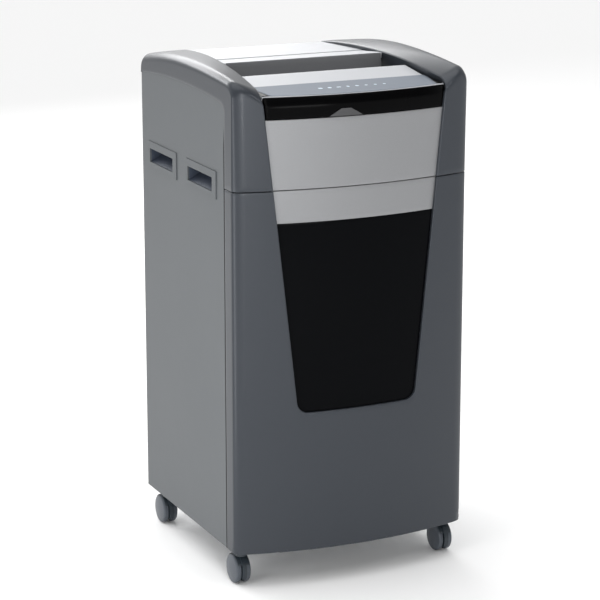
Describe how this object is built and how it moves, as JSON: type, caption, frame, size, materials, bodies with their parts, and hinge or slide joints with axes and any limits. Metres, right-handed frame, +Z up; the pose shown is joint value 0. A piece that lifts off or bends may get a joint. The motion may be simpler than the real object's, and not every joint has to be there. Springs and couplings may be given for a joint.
{
  "type": "paper shredder",
  "caption": "Free-standing office paper shredder with a feed bay lid, bowed front door, pull-out bin, meshing cutter shafts and swivel castors.",
  "frame": {"origin": "on the floor, under the middle of the body's box", "axes": "+X to the user's right, -Y towards the user, +Z up"},
  "size_m": [0.515, 0.532, 1.05],
  "materials": {
    "panel_steel": "satin powder coat",
    "shroud_plastic": "metallic satin",
    "silver_plastic": "satin metallic",
    "gloss_black": "high gloss",
    "white_plastic": "satin",
    "strip_film": "satin film",
    "light_white": "clear lens",
    "dark_plastic": "fine grain",
    "throat_grey": "satin",
    "tab_grey": "satin",
    "bin_plastic": "fine grain",
    "zinc_steel": "zinc plated",
    "cutter_steel": "ground",
    "motor_steel": "semi gloss",
    "roller_rubber": "soft matte",
    "castor_grey": "satin",
    "castor_dark": "satin",
    "board_green": "solder mask"
  },
  "bodies": {
    "cabinet": {"side_panel_left": "panel_steel", "side_panel_right": "panel_steel", "rear_panel": "panel_steel", "base_tray": "panel_steel", "bin_rails": "zinc_steel", "head_chassis": "zinc_steel", "hood_left": "shroud_plastic", "hood_right": "shroud_plastic", "head_fascia": "silver_plastic", "grips_left": "panel_steel", "grips_right": "panel_steel", "rear_cover": "white_plastic", "feed_tray": "dark_plastic", "shred_chute": "dark_plastic", "cutter_frames": "zinc_steel", "tie_bars": "zinc_steel", "stripper_combs": "dark_plastic", "shaft_bearings": "cutter_steel", "motor": "motor_steel", "motor_bracket": "zinc_steel", "gear_cover": "dark_plastic", "circuit_boards": "board_green", "power_inlet": "dark_plastic", "hinge_brackets": "zinc_steel", "door_magnet": "zinc_steel", "interlock_switch": "dark_plastic", "panel_screws": "zinc_steel", "castor_plates": "zinc_steel", "lid_hinge": "zinc_steel"},
    "door": {"door_shell": "shroud_plastic", "door_liner": "dark_plastic", "door_strip": "silver_plastic", "door_window": "gloss_black", "door_catch": "zinc_steel"},
    "lid": {"lid_shell": "white_plastic", "control_strip": "strip_film", "icon_lights": "light_white", "lid_band": "gloss_black", "finger_tab": "tab_grey", "slot_throat": "throat_grey"},
    "pressure_plate": {"pressure_plate": "dark_plastic"},
    "bin": {"bin": "bin_plastic", "bin_handle": "bin_plastic"},
    "front_cutter": {"cutter_front": "cutter_steel", "sync_gear_front": "cutter_steel"},
    "rear_cutter": {"cutter_rear": "cutter_steel", "sync_gear_rear": "cutter_steel"},
    "motor_shaft": {"motor_pinion": "cutter_steel"},
    "feed_shaft": {"feed_roller": "roller_rubber", "feed_gear": "dark_plastic"},
    "rocker": {"rocker_switch": "dark_plastic"},
    "fork_fl": {"castor_fork_fl": "castor_dark"},
    "wheels_fl": {"castor_wheels_fl": "castor_grey"},
    "fork_fr": {"castor_fork_fr": "castor_dark"},
    "wheels_fr": {"castor_wheels_fr": "castor_grey"},
    "fork_rl": {"castor_fork_rl": "castor_dark"},
    "wheels_rl": {"castor_wheels_rl": "castor_grey"},
    "fork_rr": {"castor_fork_rr": "castor_dark"},
    "wheels_rr": {"castor_wheels_rr": "castor_grey"}
  },
  "joints": [
    {"name": "door_hinge", "type": "hinge", "parent": "cabinet", "child": "door", "pos_m": [-0.2515, -0.19075, 0.075], "axis": [0, 0, 1], "range_deg": [-100, 0]},
    {"name": "bin_slide", "type": "slide", "parent": "cabinet", "child": "bin", "axis": [0, -1, 0], "range_m": [0, 0.1]},
    {"name": "lid_hinge", "type": "hinge", "parent": "cabinet", "child": "lid", "pos_m": [0, 0.08, 1.029], "axis": [1, 0, 0], "range_deg": [-60, 0]},
    {"name": "plate_spring", "type": "slide", "parent": "lid", "child": "pressure_plate", "axis": [0, 0, 1], "range_m": [0, 0.008], "stiffness_N_per_m": 400, "springref_m": -0.004},
    {"name": "front_cutter_spin", "type": "hinge", "parent": "cabinet", "child": "front_cutter", "pos_m": [0, -0.04, 0.862], "axis": [1, 0, 0], "continuous": true},
    {"name": "rear_cutter_spin", "type": "hinge", "parent": "cabinet", "child": "rear_cutter", "pos_m": [0, 0.008, 0.862], "axis": [1, 0, 0], "continuous": true},
    {"name": "motor_spin", "type": "hinge", "parent": "cabinet", "child": "motor_shaft", "pos_m": [0, 0.076, 0.862], "axis": [1, 0, 0], "continuous": true},
    {"name": "feed_spin", "type": "hinge", "parent": "cabinet", "child": "feed_shaft", "pos_m": [0, -0.06, 0.91644], "axis": [1, 0, 0], "continuous": true},
    {"name": "rocker_press", "type": "hinge", "parent": "cabinet", "child": "rocker", "pos_m": [-0.155, 0.257, 0.135], "axis": [1, 0, 0], "range_deg": [0, 10]},
    {"name": "swivel_fl", "type": "hinge", "parent": "cabinet", "child": "fork_fl", "pos_m": [-0.2315, -0.196, 0.075], "axis": [0, 0, 1], "continuous": true},
    {"name": "roll_fl", "type": "hinge", "parent": "fork_fl", "child": "wheels_fl", "pos_m": [-0.2315, -0.182, 0.03], "axis": [1, 0, 0], "continuous": true},
    {"name": "swivel_fr", "type": "hinge", "parent": "cabinet", "child": "fork_fr", "pos_m": [0.2315, -0.196, 0.075], "axis": [0, 0, 1], "continuous": true},
    {"name": "roll_fr", "type": "hinge", "parent": "fork_fr", "child": "wheels_fr", "pos_m": [0.2315, -0.182, 0.03], "axis": [1, 0, 0], "continuous": true},
    {"name": "swivel_rl", "type": "hinge", "parent": "cabinet", "child": "fork_rl", "pos_m": [-0.2315, 0.207, 0.075], "axis": [0, 0, 1], "continuous": true},
    {"name": "roll_rl", "type": "hinge", "parent": "fork_rl", "child": "wheels_rl", "pos_m": [-0.2315, 0.221, 0.03], "axis": [1, 0, 0], "continuous": true},
    {"name": "swivel_rr", "type": "hinge", "parent": "cabinet", "child": "fork_rr", "pos_m": [0.2315, 0.207, 0.075], "axis": [0, 0, 1], "continuous": true},
    {"name": "roll_rr", "type": "hinge", "parent": "fork_rr", "child": "wheels_rr", "pos_m": [0.2315, 0.221, 0.03], "axis": [1, 0, 0], "continuous": true}
  ],
  "couplings": [
    {"joint": "bin_slide", "follows": "door_hinge", "m_per_rad": -0.057296},
    {"joint": "rear_cutter_spin", "follows": "front_cutter_spin", "ratio": -1},
    {"joint": "feed_spin", "follows": "front_cutter_spin", "ratio": -0.70588},
    {"joint": "motor_spin", "follows": "front_cutter_spin", "ratio": 2.4}
  ]
}
